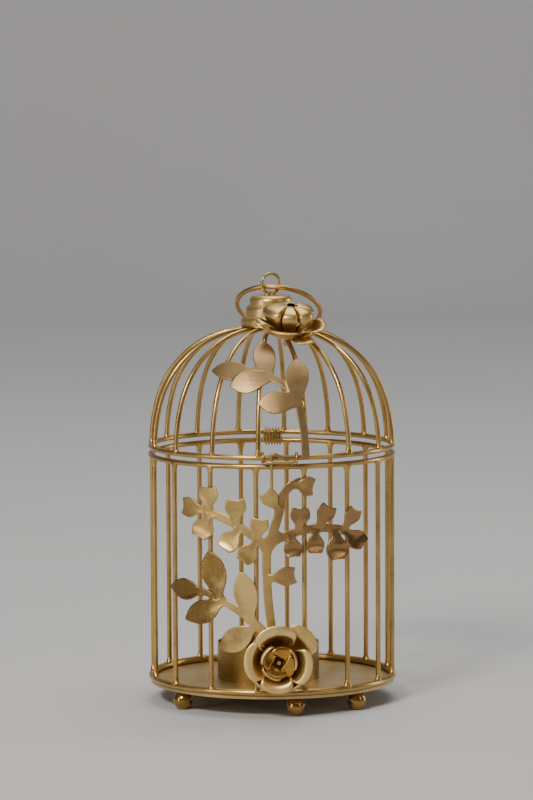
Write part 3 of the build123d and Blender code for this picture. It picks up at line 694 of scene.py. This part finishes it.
left_gore = gore("left_gore", GORE_LINE, 1.13, 67)
right_gore = gore("right_gore", GORE_LINE, 0.9, 60)
front_gore = gore("front_gore", GORE_LINE, 1.0, 40)
back_gore = gore("back_gore", BACK_LINE, 1.0, 124)
lip_collar = petal("lip_collar", [
    (ROOT_R, 0.3), (5.0, 0.4), (8.6, 0.8), (10.9, 2.6), (12.0, 4.6), (12.4, 5.3), (13.3, 5.6), (14.7, 5.3),
], fold=5, spread=72, wall_fullness=5.0, lip_fullness=2.2)
curled_collar = petal("curled_collar", [
    (ROOT_R, 0.2), (5.0, 0.3), (9.0, 0.8), (11.4, 2.8), (12.6, 5.4), (13.2, 7.2), (14.2, 7.8), (15.6, 7.0),
], fold=5, spread=52, wall_fullness=3.0, lip_fullness=2.0)
low_collar = petal("low_collar", [
    (ROOT_R, 0.0), (5.0, 0.05), (8.6, 0.2), (10.6, 0.9), (12.0, 1.6), (13.2, 1.7), (14.3, 1.2),
], fold=4, spread=62, wall_fullness=3.0, lip_fullness=2.2)
flower_petals = whorl("cap_flower_petals_look", [
    (low_collar, 138, 0), (curled_collar, 193, 0), (lip_collar, 240, 3), (low_collar, 286, 0),
    (lip_collar, 340, 3), (low_collar, 40, 0),
], PETAL_T, PETAL, PETAL)
# the bud's gores carry painted shade on their inner faces
flower_bud = whorl("cap_flower_bud_look", [
    (left_gore, 195, 3), (front_gore, 252, 3), (front_gore, 297, 3), (right_gore, 355, 3), (back_gore, 93, 0),
], PETAL_T, PETAL, BUD_INSIDE_PAINTED_SHADE)
remove(left_gore, right_gore, front_gore, back_gore, lip_collar, curled_collar, low_collar)
FLOWER_TURN, FLOWER_TILT, FLOWER_REACH, FLOWER_Z = math.radians(19.3), math.radians(19), 21.5, 149.55
flower_at = MM * Vector(
    (FLOWER_REACH * math.sin(FLOWER_TURN), -FLOWER_REACH * math.cos(FLOWER_TURN), FLOWER_Z)
)
for cup, node in ((flower_petals, "cap_flower_petals"), (flower_bud, "cap_flower_bud")):
    place(cup, turn=(FLOWER_TILT, 0, 0), size=TO_METRES)
    place(cup, flower_at, (0, 0, FLOWER_TURN))
    hand_in(cup, "dome", node)

# Solder: a lump of each kind shaped once from a spun outline, then copied round its ring
LUMP_SIDES, LUMP_COUNT = 12, 16
LUMP_SIZES = (1.0, 0.86, 1.1, 0.93, 1.05, 0.9, 1.14)
ALONG_STRIDE, TALL_STRIDE = 3, 5


def solder_lump(name, rows):
    # rows: (height from the ring's middle, half width along the ring, half width across it)
    lump = outline(name, [(0, rows[0][0])] + [(1, row[0]) for row in rows] + [(0, rows[-1][0])])
    spin_all(lump, LUMP_SIDES, FULL_TURN, ORIGIN, Z_AXIS)
    close_seams(lump)
    for height, along, across in rows:
        pick(lump, lambda i, co: abs(co.z - height) < NEAR and co.xy.length > 0.5)
        bpy.ops.transform.resize(value=(along, across, 1), center_override=(0, 0, height))
    done()
    apply(lump, "SUBSURF", levels=1, render_levels=1)
    return lump


def soldered_round(name, lump, ring_z, phase, body):
    copies = []
    for number in range(LUMP_COUNT):
        angle = math.radians(phase + 360 / LUMP_COUNT * number)
        one = copy_of(lump, "lump")
        at = Vector((RING_R * math.sin(angle), -RING_R * math.cos(angle), ring_z)) * MM
        along = LUMP_SIZES[number * ALONG_STRIDE % len(LUMP_SIZES)] * MM
        tall = LUMP_SIZES[number * TALL_STRIDE % len(LUMP_SIZES)] * MM
        place(one, at, (0, 0, angle), (along, MM, tall))
        copies.append(one)
    remove(lump)
    hand_in(join(copies, name), body, None, SOLDER)


BAR_PHASE, DOME_PHASE = -7, -5.9
top_flare = solder_lump("top_flare", [
    (-4.2, 0.97, 0.97), (-3.0, 1.06, 1.04), (-2.0, 1.24, 1.1), (-1.3, 1.6, 1.14), (-0.8, 2.3, 1.16),
    (-0.2, 2.9, 1.14), (0.4, 2.3, 1.0),
])
soldered_round("bar_top_solder", top_flare, BODY_RING_Z, BAR_PHASE, "cage")
foot_lump = solder_lump("foot_lump", [
    (-0.4, 2.2, 1.3), (0.6, 2.3, 1.45), (1.3, 1.8, 1.3), (1.9, 1.3, 1.14), (2.8, 1.08, 1.05),
    (3.8, 0.97, 0.97),
])
soldered_round("bar_foot_solder", foot_lump, BASE_RING_Z, BAR_PHASE, "cage")
dome_lump = solder_lump("dome_lump", [
    (-0.5, 1.9, 1.02), (0.1, 2.2, 1.15), (0.8, 1.7, 1.16), (1.4, 1.28, 1.12), (2.4, 1.08, 1.04),
    (3.4, 0.97, 0.97),
])
soldered_round("dome_wire_solder", dome_lump, DOME_RING_Z, DOME_PHASE, "dome")

EYE_TURN = math.radians(26)
eye_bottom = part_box("hanger_eye")[0].z
eye_foot = solder_lump("eye_foot_solder", [
    (-0.3, 2.9, 1.2), (0.3, 2.7, 1.05), (0.7, 2.2, 0.9), (1.0, 1.5, 0.75),
])
place(eye_foot, (0, 0, eye_bottom), (0, 0, EYE_TURN), TO_METRES)
hand_in(eye_foot, "dome", None, SOLDER)

# Stage: a pale floor that sweeps up behind
FLOOR_SIZE, FLOOR_Y = 6.0, -0.5
SWEEP_RISE, SWEEP_R, SWEEP_STEPS = (0, 0.05, 3.0), 0.6, 24
CLOUD_SCALE, CLOUD_GLOSS, FLOOR_ROUGH = 3.0, 0.1, 0.75
bpy.ops.object.select_all(action="DESELECT")
bpy.ops.mesh.primitive_plane_add(size=FLOOR_SIZE, location=(0, FLOOR_Y, 0))
floor = bpy.context.object
floor.name = "floor"
pick(floor, lambda i, co: co.y > 0)
bpy.ops.mesh.extrude_region_move(TRANSFORM_OT_translate={"value": SWEEP_RISE})
done()
apply(floor, "BEVEL", width=SWEEP_R, segments=SWEEP_STEPS)
bpy.ops.object.shade_smooth()
pale = Finish("pale_floor")
where = pale.node("ShaderNodeTexCoord", {}, {}, output="Object")
cloud = pale.noise(where, CLOUD_SCALE, PATCH_DETAIL)
pale.set(
    Base_Color=pale.mix(cloud, (0.52, 0.51, 0.50, 1), (0.58, 0.57, 0.56, 1)),
    Roughness=FLOOR_ROUGH + (cloud - NOISE_MEAN) * CLOUD_GLOSS,
)
floor.data.materials.append(pale.material)


# Soft studio light
def softbox(name, at, aim, size, power, colour):
    bpy.ops.object.light_add(type="AREA", location=at)
    lamp = bpy.context.object
    lamp.name = name
    lamp.rotation_euler = (Vector(aim) - Vector(at)).to_track_quat("-Z", "Y").to_euler()
    lamp.data.shape = "RECTANGLE"
    lamp.data.size, lamp.data.size_y = size
    lamp.data.energy = power
    lamp.data.color = colour


CAGE_MIDDLE = (0, 0, 0.09)
softbox("key_box", (-0.55, -1.2, 1.05), CAGE_MIDDLE, (0.35, 0.35), 20, (1.0, 0.97, 0.92))
softbox("left_strip", (-1.05, -0.75, 0.32), CAGE_MIDDLE, (0.12, 0.6), 3, (1.0, 0.96, 0.9))
softbox("right_strip", (1.0, 0.45, 0.3), CAGE_MIDDLE, (0.12, 0.55), 2.5, (1.0, 0.96, 0.9))
softbox("fill_box", (1.1, -0.8, 0.7), CAGE_MIDDLE, (0.3, 0.8), 1.6, (1.0, 0.86, 0.76))
softbox("top_box", (0.1, 0.25, 1.3), (0, 0, 0.1), (0.9, 0.9), 9, (0.96, 0.98, 1.0))
softbox("backdrop_box", (0, 1.0, 1.9), (0, 2.5, 0.45), (2.0, 0.4), 15, (0.98, 0.98, 1.0))
SKY_COLOUR, SKY_STRENGTH = (0.8, 0.82, 0.85, 1), 0.12
world = bpy.data.worlds.new("studio")
bpy.context.scene.world = world
world.use_nodes = True
sky = world.node_tree.nodes["Background"].inputs
sky["Color"].default_value = SKY_COLOUR
sky["Strength"].default_value = SKY_STRENGTH

# Camera at the photograph's view
CAMERA_AT = Vector((0.01018, -1.78376, 0.29963))
PITCH, YAW, ROLL = 0.0998, -0.0068, -0.0046
FOCAL_PX, IMAGE_H, FILM_H, CLIP_END = 4453.26, 800, 36.0, 50
ahead = Vector((math.sin(YAW) * math.cos(PITCH), math.cos(YAW) * math.cos(PITCH), -math.sin(PITCH)))
level = ahead.cross(Vector(Z_AXIS)).normalized()
upright = level.cross(ahead)
right = level * math.cos(ROLL) + upright * math.sin(ROLL)
above = upright * math.cos(ROLL) - level * math.sin(ROLL)
bpy.ops.object.camera_add()
camera = bpy.context.object
camera.name = "photo_camera"
camera_turn = Matrix((right, above, -ahead)).transposed().to_4x4()
camera.matrix_world = Matrix.Translation(CAMERA_AT) @ camera_turn
camera.data.sensor_fit = "VERTICAL"
camera.data.sensor_height = FILM_H
camera.data.lens = FOCAL_PX * FILM_H / IMAGE_H
camera.data.clip_end = CLIP_END
bpy.context.scene.camera = camera
